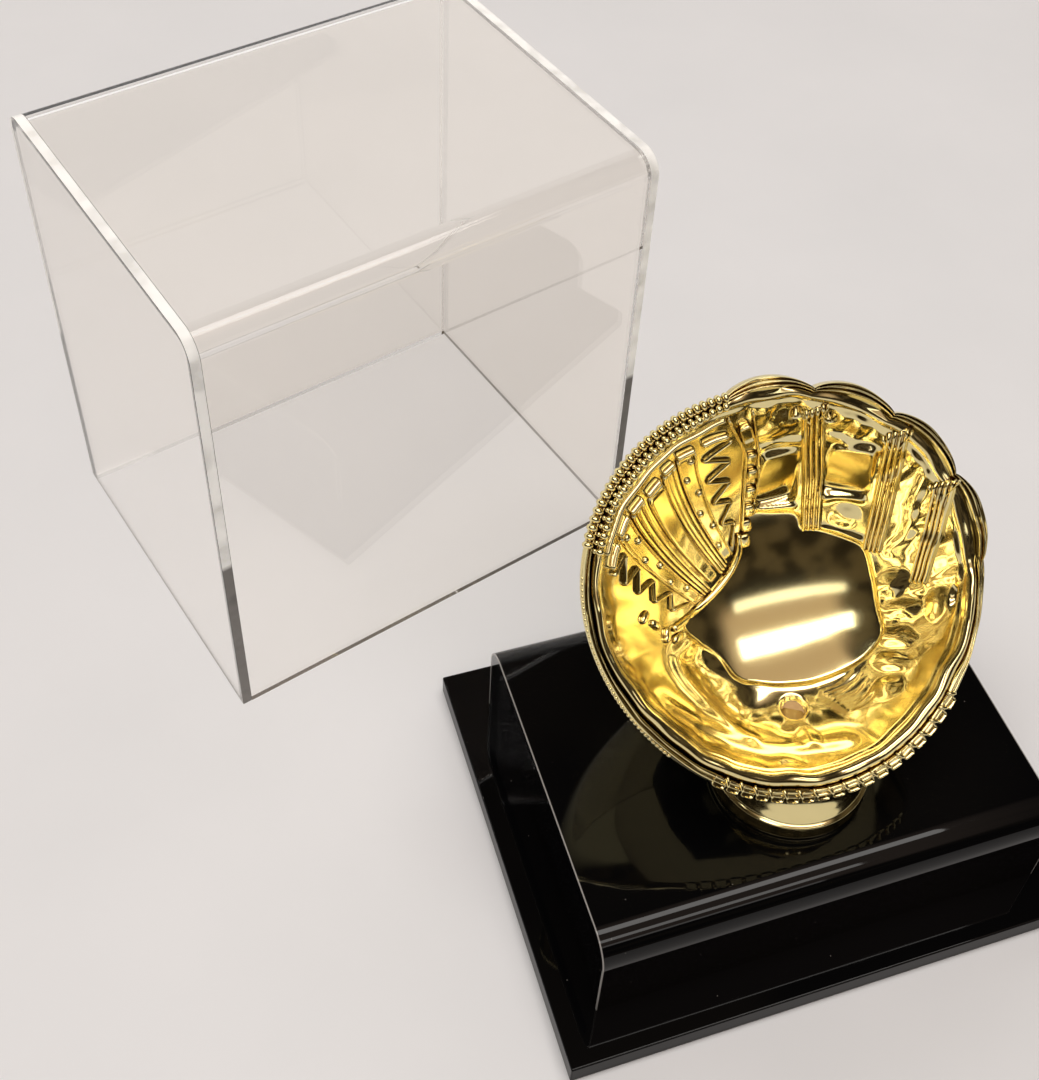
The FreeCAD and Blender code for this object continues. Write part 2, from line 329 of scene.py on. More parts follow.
# %% Finishes on the CAD pieces that keep their shape
finishes = {"base_plate": black_plate, "riser_bent_sheet": black_bent_sheet, "riser_left_panel": black_acrylic,
            "riser_right_panel": black_acrylic, "cover_bent_sheet": clear_sheet,
            "cover_left_panel": clear_panel, "cover_right_panel": clear_panel,
            "stem_screw": zinc, "stem_washer": zinc}
for name, finish in finishes.items():
    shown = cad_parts[name]
    shown.data.materials.clear()
    shown.data.materials.append(finish)
print(len(finishes), "CAD pieces finished")

# %% [markdown]
# The glove is a bowl. Deep down it is a sphere round the ball, and towards the mouth it flares out to meet a
# tilted rim, which is drawn out towards the web and carries four fingertips. It could be sculpted by hand, but
# the CAD model's formula, in millimetres, keeps both models in step. Angles run round the mouth: 0 is the right,
# a quarter turn is the fingers at the top and half a turn is the thumb. Latitude runs from the rim to a quarter
# turn at the deepest point, the pole.

# %% The bowl's sizes
riser_top = riser_high.z / mm
mouth_tilt = math.radians(47.0)
across = np.array((1.0, 0.0, 0.0))
uphill = np.array((0.0, math.cos(mouth_tilt), math.sin(mouth_tilt)))
outward = np.array((0.0, -math.sin(mouth_tilt), math.cos(mouth_tilt)))
mouth_centre = np.array((-1.3, 3.7, riser_top + 49.7))
pocket_centre = np.array((0.0, -4.0, riser_top + 49.0))
pocket_radius = 39.0
mouth_drop = (pocket_centre - mouth_centre) @ outward
rim_mean = 46.4
rim_stretch = 1.5
rim_stretch_angle = math.radians(148.0)
rim_swell = 0.8
wall_flare = 1.6
flare_end = math.radians(62.0)
finger_end = math.radians(75.0)
fingertip_start = math.radians(-4.0)
fingertip_span = math.radians(26.0)
fingertip_count = 4
fingertip_rise = 2.7
palm_wall = 2.0
back_gap = 2.2
back_wall = 4.4
print("pocket centre", pocket_centre, "and riser top", round(riser_top, 2))

# %% [markdown]
# A few small tools serve all the shapes: a step with soft ends, directions of length 1, the angles of a ring, and
# waves round the mouth.


# %% Tools for shapes
def smooth_step(value, low, high):
    """From 0 below low to 1 above high, with soft ends."""
    share = np.clip((value - low) / (high - low), 0, 1)
    return share * share * (3 - 2 * share)


def unit(vectors):
    """Vectors of length 1 in the same directions."""
    return vectors / np.linalg.norm(vectors, axis=-1, keepdims=True)


def full_turn(count):
    """Angles once round a ring of points."""
    return np.linspace(0, 2 * np.pi, count, endpoint=False)


def stretch_of_rim(angle, low, high, soft):
    """1 between two angles round the mouth, in degrees, fading out over a soft edge."""
    turn = np.mod(np.degrees(angle) - low + 90, 360) - 90
    return smooth_step(turn, -soft, soft) * (1 - smooth_step(turn, high - low - soft, high - low + soft))


def ripple(angle, waves):
    """The sum of waves round the mouth, each given by its height, its count and its start."""
    return sum(rise * np.sin(number * angle + start) for rise, number, start in waves)


print("tools ready")

# %% [markdown]
# The rim is a circle that is stretched and swollen a little, with the fingertips added. A wall is a sphere, and
# near the mouth it is moved over to the rim by a share that grows with a power: the flare.


# %% The bowl's formula
def spoke(angle):
    """Unit directions in the mouth's plane."""
    return np.cos(angle)[..., None] * across + np.sin(angle)[..., None] * uphill


def fingertip(angle):
    """From 0 between fingers to 1 at the middle of a fingertip, and 0 away from the fingers."""
    turn = np.mod(angle - fingertip_start, 2 * np.pi)
    tip = np.abs(np.sin(np.pi * turn / fingertip_span)) ** 0.7
    return np.where(turn < fingertip_count * fingertip_span, tip, 0.0)


def rim_radius(angle, inset, tips):
    """Radius of the rim, less an inset, with the share of the fingertips called tips."""
    stretch = rim_stretch * np.cos(2 * (angle - rim_stretch_angle))
    return rim_mean - inset + stretch + rim_swell * np.sin(3 * angle) + tips * fingertip_rise * fingertip(angle)


def rim_point(angle, inset, tips, lift):
    """Points on or over the rim, lifted out of the mouth's plane."""
    reach = rim_radius(angle, inset, tips)
    return mouth_centre + spoke(angle) * reach[..., None] + outward * np.asarray(lift)[..., None]


def bowl_point(angle, latitude, wall, inset, tips, flare_power=wall_flare):
    """Points of the bowl's wall, a distance called wall outside the ball's pocket."""
    start = math.asin(mouth_drop / (pocket_radius + np.mean(wall)))
    finger = tips * fingertip_rise * fingertip(angle) * np.maximum(0.0, 1 - latitude / finger_end)
    reach = (pocket_radius + wall + finger)[..., None]
    aim = spoke(angle) * np.cos(latitude)[..., None] - outward * np.sin(latitude)[..., None]
    rim_aim = spoke(angle) * math.cos(start) - outward * math.sin(start)
    flare = np.maximum(0.0, 1 - (latitude - start) / (flare_end - start)) ** flare_power
    rim = rim_point(angle, inset, tips, np.zeros_like(angle))
    return pocket_centre + aim * reach + (rim - pocket_centre - rim_aim * reach) * flare[..., None]


rim_reach = rim_radius(full_turn(360), 0.0, 1.0)
print("rim from", round(rim_reach.min(), 1), "to", round(rim_reach.max(), 1), "mm from the mouth's centre")

# %% [markdown]
# The palm's lip lies inside the rim. It is broad at the heel and the web and narrow at the fingers, and its line
# wanders a little, as it does where leather is turned over by hand.

# %% The lip's line
lip_mean = 4.3
lip_sway = 1.7
lip_at_web = 1.5
lip_web_angle = 128
lip_web_spread = 26
lip_wander = ((0.22, 7, 1.0), (0.16, 17, 0.0), (0.1, 29, 2.0))


def lip_inset(angle):
    """How far the inner lip lies inside the outer rim."""
    web = np.exp(-((np.degrees(angle) % 360 - lip_web_angle) / lip_web_spread) ** 2)
    return lip_mean - lip_sway * np.sin(angle) + lip_at_web * web + ripple(angle, lip_wander)


print("lip inset at the heel", round(float(lip_inset(np.array(-np.pi / 2))), 2), "mm")

# %% [markdown]
# Leather patterns are drawn flat, and so is this one. The pocket's pole is the origin of a flat sheet, and a
# point's distance from it is its distance over the bowl, so a place on the glove is just x to the right and y
# up in millimetres. Curves are given by the few points that they pass through, which are easier to choose
# than handles.

# %% The flat pattern
pattern_edge = pocket_radius * (math.pi / 2 - math.asin(mouth_drop / pocket_radius))


def curve_through(points, spacing=0.5, closed=False):
    """Points along a smooth curve through the given ones, about a spacing apart."""
    knots = np.array(points, float)
    if closed:
        padded = np.vstack((knots[-1], knots, knots[:2]))
    else:
        padded = np.vstack((2 * knots[0] - knots[1], knots, 2 * knots[-1] - knots[-2]))
    runs = []
    for before, start, end, after in zip(padded, padded[1:], padded[2:], padded[3:]):
        count = max(2, int(np.linalg.norm(end - start) / spacing))
        t = np.linspace(0, 1, count, endpoint=False)[:, None]
        runs.append(0.5 * (2 * start + (end - before) * t
                           + (2 * before - 5 * start + 4 * end - after) * t ** 2
                           + (3 * start - before - 3 * end + after) * t ** 3))
    if not closed:
        runs.append(knots[-1:])
    return np.vstack(runs)


def way_along(line):
    """How far along a line each of its points lies."""
    return np.concatenate(((0,), np.cumsum(np.linalg.norm(np.diff(line, axis=0), axis=1))))


def distance_to(line, x, y):
    """Distance of each point of the sheet to a run of short straight pieces."""
    nearest = np.full(x.shape, 1e9)
    for (ax, ay), (bx, by) in zip(line, line[1:]):
        dx, dy = bx - ax, by - ay
        share = np.clip(((x - ax) * dx + (y - ay) * dy) / (dx * dx + dy * dy + 1e-12), 0, 1)
        nearest = np.minimum(nearest, (x - ax - share * dx) ** 2 + (y - ay - share * dy) ** 2)
    return np.sqrt(nearest)


def inside_of(loop, x, y):
    """Whether each point of the sheet lies inside a closed loop of points."""
    within = np.zeros(x.shape, bool)
    for (ax, ay), (bx, by) in zip(loop, np.roll(loop, -1, axis=0)):
        crosses = (ay > y) != (by > y)
        within ^= crosses & (x < (bx - ax) * (y - ay) / (by - ay + 1e-12) + ax)
    return within


print("the pattern reaches", round(pattern_edge, 1), "mm from the pole")

# %% [markdown]
# Crinkles are random heights at the marks of a grid, joined smoothly. Blender's own noise would do in a material,
# but these have to be real shapes, and a fixed seed gives the same ones each time.


# %% Crinkles
def between_marks(grid, column, row, over, up):
    """A grid's value between its marks: over and up are shares of the way to the next column and row."""
    below = grid[row, column] * (1 - over) + grid[row, column + 1] * over
    above = grid[row + 1, column] * (1 - over) + grid[row + 1, column + 1] * over
    return below * (1 - up) + above * up


def crinkle(x, y, size, seed):
    """Smooth random heights from -1 to 1 with features about a size across; the seed keeps them the same."""
    marks = 128
    grid = np.random.default_rng(seed).uniform(-1, 1, (marks, marks))
    column, row = x / size + marks / 2, y / size + marks / 2
    c, r = np.floor(column).astype(int) % (marks - 1), np.floor(row).astype(int) % (marks - 1)
    return between_marks(grid, c, r, smooth_step(column % 1, 0, 1), smooth_step(row % 1, 0, 1))


print("crinkles ready")

# %% [markdown]
# The palm's soft forms are heights on that sheet: a mirror-smooth disc where the ball sits, pads at the thumb and
# heel, folds of the leather as ridges, creases as grooves, and the crumpled heel of the little finger. Each
# is a line of numbers, so a form is moved or made deeper without touching the mesh.

# %% Palm forms
disc = curve_through([(-3, 5.5), (0, 10), (2, 15), (4, 19), (9.5, 18.3), (14.8, 17.2), (16, 13.2), (20.5, 12),
                      (27, 8.6), (30.2, 5.5), (31, -2), (30.6, -10), (30, -17.3), (24, -22.3), (14, -24.5),
                      (5, -23.7), (-2, -21.5), (-6.5, -19.3), (-9.5, -13), (-14.2, -8.2), (-16.8, -4.6),
                      (-14.4, -2.0), (-9, 1.0)], 1.0, closed=True)
disc_middle = (6.0, -3.0)
disc_rise = 1.4
disc_fall = 2.0 / 22 ** 2
disc_edge = 1.6
leather_rise = 0.45
hole_place = (4.0, -31.0)
hole_radius = 3.2

# Pads and hollows: x, y, half length, half width, turn in degrees, height
pads = [(-15.0, -14.5, 8.6, 6.6, -40, -0.6), (-7.5, -30.5, 10.5, 8.6, 20, -0.85), (4.0, -41.5, 3.4, 5.2, 0, 0.35),
        (27, 16, 4.6, 4.4, -15, 0.6), (7, 47.5, 7.0, 5.6, 10, 0.8), (29, 45.3, 7.6, 4.8, -35, 0.7),
        (46.5, 31, 6.6, 4.0, -55, 0.6), (36, -4.5, 6.0, 4.6, 20, 0.9), (37.5, -12.5, 7.0, 3.6, -12, 0.9),
        (34.5, -20.0, 7.0, 3.6, -24, 0.9), (31.5, -26.5, 6.6, 3.6, -30, 0.8), (29.0, -33.5, 5.4, 4.4, 10, 0.9),
        (46.5, -13, 3.6, 8.0, -12, 0.6)]

# Folds and creases: points, half width, height
folds = [([(-18.5, -8.5), (-23.6, -10.8), (-23.3, -16.5), (-20.5, -22.5), (-17, -30), (-11.8, -37.5)], 2.6, 0.75),
         ([(-34, -24.5), (-26.5, -29.8), (-19.5, -35), (-12, -40.3), (-3.5, -43), (5, -45), (12.5, -46.5)],
          3.2, 0.6),
         ([(-6.5, -20.3), (0, -23), (8, -25.3), (16, -25.2), (23, -23.6), (28.5, -19.5)], 1.2, 0.2),
         ([(4.6, 22), (8, 20.8), (14.6, 20.3)], 0.6, 0.4), ([(4.2, 19.9), (9, 19), (15, 18.1)], 0.6, 0.3),
         ([(3.5, 41), (8, 42), (14.3, 41.5)], 1.1, 0.6), ([(22.8, 41.5), (28, 38.5), (35.5, 34.5)], 1.2, 0.6),
         ([(22.6, 21.5), (26, 21.8), (31.3, 20.2)], 0.7, 0.4), ([(21.5, 13), (25, 12), (30, 9)], 0.7, 0.35),
         ([(48, 24), (44.5, 17), (42, 9), (37.5, 5)], 1.6, 0.4)]
crease_count = 9
for crease in range(crease_count):
    left = (12.0 + 0.7 * crease, -27.0 - 1.15 * crease)
    right = (22.5 + 0.4 * crease - 1.5 * (crease % 2), -24.2 - 1.2 * crease)
    middle = ((left[0] + right[0]) / 2, (left[1] + right[1]) / 2 - 0.9)
    folds.append(([left, middle, right], 0.42, -0.14))

# Finger panels, flat like mirrors: x, y, half width, half length, turn, nod and roll in degrees, rise
finger_panels = [(9.6, 30.4, 5.6, 9.0, 0, 6, 14, 0.7), (28.4, 30.0, 6.4, 8.0, -10, 0, 0, 0.9)]

# Sunken places: x, y, half length, half width, turn in degrees, depth
holes = [hole_place + (hole_radius, hole_radius, 0, 1.1), (12.4, 50.6, 1.5, 1.3, 0, 3.0),
         (22.4, 47.4, 1.6, 1.3, 0, 3.0), (51.5, -13, 0.9, 3.4, -15, 1.2)]

# Crumpled leather: x, y, half length, half width, turn in degrees, soft edge, share
crumples = [(38.5, -13, 9.5, 20, -14, 0.4, 1.0), (19, -30, 12, 6, 20, 0.3, 0.5)]
print(len(pads), "pads,", len(folds), "folds,", len(finger_panels), "panels and", len(holes), "holes")

# %% [markdown]
# A finger panel is flat like a mirror, although the bowl under it is round, so its height is what the bowl lacks
# to reach the panel's plane. The bowl itself is steeper under the fingers than at the heel.


# %% Flat finger panels
finger_flare = 1.0


def ellipse(x, y, form, power=2):
    """How far out each point lies in a turned ellipse, from 0 in its middle to 1 on its edge."""
    turn = math.radians(form[4])
    along = ((x - form[0]) * math.cos(turn) + (y - form[1]) * math.sin(turn)) / form[2]
    side = ((y - form[1]) * math.cos(turn) - (x - form[0]) * math.sin(turn)) / form[3]
    return (np.abs(along) ** power + np.abs(side) ** power) ** (1 / power)


def palm_base(x, y):
    """The bare bowl under a point of the sheet."""
    angle = np.arctan2(y, x)
    latitude = np.pi / 2 - np.hypot(x, y) / pocket_radius
    steep = wall_flare + finger_flare * stretch_of_rim(angle, -10, 106, 14)
    return bowl_point(angle, latitude, 0.0, lip_inset(angle), 0.0, steep)


def flat_panel(x, y, form):
    """Heights that turn the bowl's curve into a flat panel, nodding and rolled a little, and their hold."""
    middle = palm_base(np.array(form[0]), np.array(form[1]))
    facing = unit(pocket_centre - middle)
    facing = facing + math.tan(math.radians(form[5])) * np.cross(across, facing)
    facing = facing + math.tan(math.radians(form[6])) * np.cross(uphill, facing)
    facing = unit(facing)
    wall = palm_base(x, y)
    level = (middle - wall) @ facing / np.maximum(unit(pocket_centre - wall) @ facing, 0.3)
    return level + form[7], 1 - smooth_step(ellipse(x, y, form, 6), 0.86, 1.06)


print("panel middles in millimetres", [form[:2] for form in finger_panels])

# %% [markdown]
# The heights are added up form by form. Leather is never even, so four sizes of crinkle go on top: crumples at
# the little finger's heel, puckers under the fingertips, fine streaks along the outer fingers, and a broad
# unevenness everywhere. The disc then cuts its smooth seat into them, and panels and holes come last.

# %% Heights of the palm
crumple_rise, crumple_size = 0.12, 2.6
pucker_rise, pucker_size = 0.38, 2.9
streak_rise, streak_size = 0.05, 1.1
uneven_rise, uneven_size = 0.05, 8.0
pucker_radius = 46


def palm_heights(x, y):
    """Height of the palm's carving over the bowl, in millimetres, at points of the sheet."""
    from_pole = np.hypot(x, y)
    angle = np.arctan2(y, x)
    outside = np.where(inside_of(disc, x, y), 0.0, distance_to(np.vstack((disc, disc[:1])), x, y))
    height = leather_rise + np.zeros_like(from_pole)
    for pad in pads:
        height += pad[5] * np.maximum(0.0, 1 - ellipse(x, y, pad) ** 2) ** 2
    for points, half_width, rise in folds:
        height += rise * np.exp(-(distance_to(curve_through(points, 1.0), x, y) / half_width) ** 2)
    crumpled = sum(form[6] * smooth_step(1 - ellipse(x, y, form), 0, form[5]) for form in crumples)
    height += crumpled * crumple_rise * crinkle(x, y, crumple_size, 5)
    girth = angle * pucker_radius
    fingers = stretch_of_rim(angle, -16, 98, 6)
    puckered = fingers * smooth_step(from_pole, 43, 47)
    height += puckered * pucker_rise * crinkle(girth, 0.55 * from_pole, pucker_size, 11)
    streaked = fingers * smooth_step(x, 30, 40)
    height += streaked * streak_rise * crinkle(girth, 0.2 * from_pole, streak_size, 13)
    height += uneven_rise * crinkle(x, y, uneven_size, 2)
    sunk = disc_rise - disc_fall * ((x - disc_middle[0]) ** 2 + (y - disc_middle[1]) ** 2)
    height = sunk + (height - sunk) * smooth_step(outside, 0.0, disc_edge)
    for form in finger_panels:
        level, held = flat_panel(x, y, form)
        height = height * (1 - held) + level * held
    for hole in holes:
        out = (ellipse(x, y, hole) - 1) * hole[2]
        height = height * smooth_step(out, -0.3, 0.8) - hole[5] * (1 - smooth_step(out, -0.45, 0.15))
    return height * (1 - smooth_step(from_pole, pattern_edge - 1.6, pattern_edge - 0.2))


print("crinkles of", crumple_size, pucker_size, streak_size, uneven_size, "mm")

# %% [markdown]
# Adding up takes time, so it is done once, on a fine grid, and every piece looks its heights up there. A piece on
# the palm stands on the carved surface: the bowl, moved out along its normal by the height.

# %% Height map
cell = 0.25
map_half = 60
half_cells = int(map_half / cell)
axis_marks = np.arange(-half_cells, half_cells + 1) * cell
height_map = palm_heights(*np.meshgrid(axis_marks, axis_marks))


def relief(x, y):
    """Height of the carving, looked up between the grid's points."""
    column = np.clip(np.asarray(x) / cell + half_cells, 0, 2 * half_cells - 1.001)
    row = np.clip(np.asarray(y) / cell + half_cells, 0, 2 * half_cells - 1.001)
    c, r = column.astype(int), row.astype(int)
    return between_marks(height_map, c, r, column - c, row - r)


def palm_point(x, y, lift):
    """Points over the carved palm and the directions that stand up from it."""
    nudge = 0.05
    middle = palm_base(x, y)
    normal = unit(np.cross(palm_base(x + nudge, y) - middle, palm_base(x, y + nudge) - middle))
    return middle + normal * (relief(x, y) + lift)[..., None], normal


print("heights from", round(height_map.min(), 2), "to", round(height_map.max(), 2), "mm")

# %% [markdown]
# Every mesh of the glove is a skin over rings of points, closed at both ends by a fan of triangles. The bowl's
# mouldings are such skins: down one face, over the rolled rim and down the other. So are the small pieces. A
# Solidify modifier could thicken a sheet, but here the two faces differ.


# %% Skins over rings
def skin(rings, first=None, last=None):
    """Points and faces of a closed skin over rings, with a point at each end."""
    rows, columns = rings.shape[:2]
    first = rings[0].mean(0) if first is None else first
    last = rings[-1].mean(0) if last is None else last
    row, column = np.meshgrid(np.arange(rows - 1), np.arange(columns), indexing="ij")
    a = row * columns + column
    b = row * columns + (column + 1) % columns
    quads = np.stack((a, b, b + columns, a + columns), -1).reshape(-1, 4).tolist()
    ends = rows * columns
    top = (rows - 1) * columns
    fan = [(ends, (c + 1) % columns, c) for c in range(columns)]
    fan += [(ends + 1, top + c, top + (c + 1) % columns) for c in range(columns)]
    return np.vstack((rings.reshape(-1, 3), first, last)), quads + fan


def glove_piece(name, skins, finish=gold, polish=None):
    """One smooth mesh object made of one or more skins, riding on the base; polish is a value for each point."""
    points, faces, done = [], [], 0
    for skin_points, skin_faces in skins:
        points.append(skin_points)
        faces += [tuple(corner + done for corner in face) for face in skin_faces]
        done += len(skin_points)
    mesh = bpy.data.meshes.new(name)
    mesh.from_pydata((np.vstack(points) * mm).tolist(), [], faces)
    shape = bmesh.new()
    shape.from_mesh(mesh)
    bmesh.ops.recalc_face_normals(shape, faces=shape.faces)
    shape.to_mesh(mesh)
    shape.free()
    mesh.polygons.foreach_set("use_smooth", [True] * len(mesh.polygons))
    mesh.materials.append(finish)
    if polish is not None:
        mesh.attributes.new("polish", "FLOAT", "POINT").data.foreach_set("value", polish)
    made = bpy.data.objects.new(name, mesh)
    bpy.context.scene.collection.objects.link(made)
    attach(made, "base")
    print(name, len(skins), "skins and", len(faces), "faces")
    return made


print("skins ready")

# %% [markdown]
# The two mouldings meet in a groove between their rolled rims. The lip of the inner one is tall round the heel
# and low under the fingertips, where the finger panels run almost straight into the outer rim.

# %% The groove between the mouldings
ring_points = 540
angles = full_turn(ring_points)
at_fingers = stretch_of_rim(angles, -6, 102, 5)
lip_crest = 2.3
lip_dip = 1.2
lip_height = lip_crest - lip_dip * at_fingers + ripple(angles, ((0.25, 11, 0.0), (0.18, 23, 1.0)))
groove_lift = 0.7 + 0.3 * at_fingers
groove_tips = 0.35
groove_share = 0.48
rim_overlap = 0.1


def groove_inset(angle):
    """Where the two mouldings' rolled rims meet."""
    return groove_share * lip_inset(angle)


print("lip from", round(lip_height.min(), 2), "to", round(lip_height.max(), 2), "mm over the rim")

# %% [markdown]
# The inner moulding is the carved palm, a round lip over the rim and a plain hidden outside. Its rings are evenly
# spaced over the pattern, so the carving is equally fine everywhere.

# %% Inner moulding
palm_rows, lip_rows, hidden_rows = 148, 22, 12
first_reach = 0.3
near_pole = math.radians(89.5)
palm_rings = []
palm_polish = []
for reach in np.linspace(first_reach, pattern_edge, palm_rows):
    x, y = reach * np.cos(angles), reach * np.sin(angles)
    palm_rings.append(palm_point(x, y, np.zeros(ring_points))[0])
    palm_polish += inside_of(disc, x, y).astype(float).tolist()
for turn in np.linspace(0, np.pi, lip_rows)[1:]:
    share = (1 - math.cos(turn)) / 2
    inset = lip_inset(angles) + share * (groove_inset(angles) - lip_inset(angles))
    foot = groove_lift if turn > np.pi / 2 else 0.0
    palm_rings.append(rim_point(angles, inset, groove_tips * share, foot + (lip_height - foot) * math.sin(turn)))
rim_latitude = math.asin(mouth_drop / (pocket_radius + palm_wall))
for latitude in np.linspace(rim_latitude, near_pole, hidden_rows)[1:]:
    level = np.full(ring_points, latitude)
    palm_rings.append(bowl_point(angles, level, palm_wall, groove_inset(angles) + rim_overlap, 0.0))
pole_inside = palm_point(np.zeros(1), np.zeros(1), np.zeros(1))[0][0]
palm_skin = skin(np.array(palm_rings), first=pole_inside)
palm_polish += [0.0] * (len(palm_skin[0]) - len(palm_polish))
palm_polish[-2] = 1.0
palm = glove_piece("glove_palm", [palm_skin], polish=palm_polish)
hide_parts("glove_palm_shell")

# %% [markdown]
# The glove's back has sunk seams with a welt on each side between the fingers, creases across the fingers'
# joints, and a soft rumple round the heel. Its carving is added up by place, like the palm's.

# %% Heights of the back
seam_depth, seam_width = 0.8, 0.7
welt_rise, welt_off, welt_width = 0.35, 1.5, 0.6
finger_joints = (24, 28, 42)
joint_bow = 2.0
joint_depth, joint_width = 0.32, 0.9
rumple_rise, rumple_size = 0.45, 9.0


def back_heights(angle, latitude):
    """Height of the carving on the glove's back: sunk seams beside the fingers and creases at their joints."""
    girth = (pocket_radius + back_wall) * math.cos(latitude)
    height = np.zeros_like(angle)
    seam_fade = 1 - smooth_step(latitude, math.radians(48), math.radians(62))
    for number in range(fingertip_count + 1):
        seam = fingertip_start + number * fingertip_span
        off = (np.mod(angle - seam + np.pi, 2 * np.pi) - np.pi) * girth
        welt = welt_rise * np.exp(-((np.abs(off) - welt_off) / welt_width) ** 2)
        height += seam_fade * (welt - seam_depth * np.exp(-(off / seam_width) ** 2))
    on_finger = smooth_step(fingertip(angle), 0.2, 0.7)
    for joint in finger_joints:
        off = (latitude - np.radians(joint + joint_bow * on_finger)) * pocket_radius
        height -= joint_depth * on_finger * np.exp(-(off / joint_width) ** 2)
    rumple = crinkle(np.cos(angle) * girth, np.sin(angle) * girth + 30 * latitude, rumple_size, 21)
    return height + rumple_rise * rumple * stretch_of_rim(angle, 150, 330, 30)


print("creases at latitudes", finger_joints)

# %% [markdown]
# The outer moulding is a plain hidden inside, a rim of parallel rolls that swells over the fingertips, and the
# carved back. The rim has three rolls over the fingers and two elsewhere, a little uneven along their length.

# %% Outer moulding
rim_rows, back_rows = 42, 110
crest_rise = 1.3 + 0.2 * at_fingers
finger_rolls, finger_roll_rise = 3, 0.9
edge_rolls = 2
edge_roll_rise = 0.45 + 0.25 * stretch_of_rim(angles, 150, 232, 8)
back_rings = []
inner_latitude = math.asin(mouth_drop / (pocket_radius + back_gap))
for latitude in np.linspace(near_pole, inner_latitude, hidden_rows):
    level = np.full(ring_points, latitude)
    back_rings.append(bowl_point(angles, level, back_gap, groove_inset(angles) - rim_overlap, 0.0))
for share in np.linspace(0, 1, rim_rows)[1:-1]:
    crest = crest_rise * math.sin(math.pi * share) ** 0.7
    rolls = at_fingers * finger_roll_rise * abs(math.sin(finger_rolls * math.pi * share))
    rolls = rolls + (1 - at_fingers) * edge_roll_rise * abs(math.sin(edge_rolls * math.pi * share))
    rolls = rolls * (1 + ripple(angles, ((0.25, 13, 5 * share), (0.15, 31, 0.0))))
    inset = (groove_inset(angles) - rim_overlap) * (1 - share)
    lift = crest + rolls + (groove_lift - rim_overlap) * (1 - share) ** 4
    back_rings.append(rim_point(angles, inset, groove_tips + (1 - groove_tips) * share, lift))
outer_latitude = math.asin(mouth_drop / (pocket_radius + back_wall))
for latitude in np.linspace(outer_latitude, near_pole, back_rows):
    level = np.full(ring_points, latitude)
    near_rim = smooth_step(latitude, outer_latitude, outer_latitude + 0.06)
    wall = back_wall + near_rim * back_heights(angles, latitude)
    back_rings.append(bowl_point(angles, level, wall, np.zeros(ring_points), 1.0))
back = glove_piece("glove_back", [skin(np.array(back_rings))])
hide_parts("glove_back_shell")

# %% [markdown]
# Ribs, straps, welts and laces all are one form: a rounded strip that follows a line of the flat pattern, sunk
# a little into the palm. A curve with a bevel could follow the line, but not the carved surface under it. A crown
# of 2 gives a half round rib and a higher one a flat strap with round shoulders.


# %% Ribs and straps
def rib(line, width, height, crown=2.0, sink=0.5):
    """A closed strip along a line of the sheet; width may change along it."""
    line = np.asarray(line, float)
    runs = unit(np.gradient(line, axis=0))
    sides = np.stack((-runs[:, 1], runs[:, 0]), 1)
    gone = way_along(line)
    width = np.broadcast_to(width, gone.shape)
    to_end = np.minimum(gone, gone[-1] - gone) + 0.05
    round_off = np.sqrt(1 - (1 - np.minimum(1, to_end / (0.4 * width))) ** 2)
    spread = np.linspace(-1, 1, 11)
    arch = (1 - np.abs(spread) ** crown) ** (1 / crown)
    spread = np.concatenate((spread, (0.9, -0.9)))
    arch = np.concatenate((arch * height, (-sink, -sink)))
    reach = spread * width[:, None] / 2 * (0.5 + 0.5 * round_off[:, None])
    x = line[:, :1] + sides[:, :1] * reach
    y = line[:, 1:] + sides[:, 1:] * reach
    lift = np.where(arch > 0, arch * round_off[:, None], arch)
    return skin(palm_point(x, y, lift)[0])


def beside(line, offset):
    """A line moved sideways on the sheet, to its right where offset is positive."""
    runs = unit(np.gradient(line, axis=0))
    return line + np.stack((runs[:, 1], -runs[:, 0]), 1) * np.broadcast_to(offset, len(line))[:, None]


print("strips ready")

# %% [markdown]
# A flat band with four ribs covers the seam beside each finger. It narrows towards the palm, and near the
# fingertips two short ties spread out from it.

# %% Finger ribs
finger_bands = ([(17.2, 51.5), (18.2, 42), (19.3, 30), (19.1, 20), (18.6, 12.6)],
                [(41.3, 38.5), (38.8, 27.5), (36.6, 18), (32.8, 5.2)],
                [(53.2, 20.5), (50, 10), (46.5, 1.5), (42.8, -6)])
rib_heights = (1.1, 1.45, 1.25, 1.4)
rib_pitch = 1.45
rib_width = 1.4
band_width, band_rise = 6.2, 0.6
band_taper = (1.15, 0.82)
knot_step = 8
tie_swing = 0.75
tie_start, tie_end = 1.0, 6.2
tie_width, tie_rise = 1.0, 1.2
ribs = []
for band in finger_bands:
    middle = curve_through(band, 0.6)
    taper = np.linspace(*band_taper, len(middle))
    ribs.append(rib(middle, band_width * taper, band_rise, crown=8))
    for number, rib_height in enumerate(rib_heights):
        offset = (number - (len(rib_heights) - 1) / 2) * rib_pitch
        ribs.append(rib(beside(middle, offset * taper), rib_width * taper, rib_height))
    knot = middle[knot_step]
    outwards = unit(middle[0] - knot)
    for swing in (-tie_swing, tie_swing):
        aim = np.array((outwards[0] * math.cos(swing) - outwards[1] * math.sin(swing),
                        outwards[0] * math.sin(swing) + outwards[1] * math.cos(swing)))
        tie = np.linspace(knot + aim * tie_start, knot + aim * tie_end, 14)
        ribs.append(rib(tie, tie_width, tie_rise))
glove_piece("glove_finger_ribs", ribs)

# %% [markdown]
# The web is a fan of straps between thumb and first finger. Its places are given across the fan, from -2 at the
# thumb to 2 at the finger, and down it, from 0 at the beaded edge to 1 at the welt that closes it below. So
# the straps draw together at the welt by themselves.

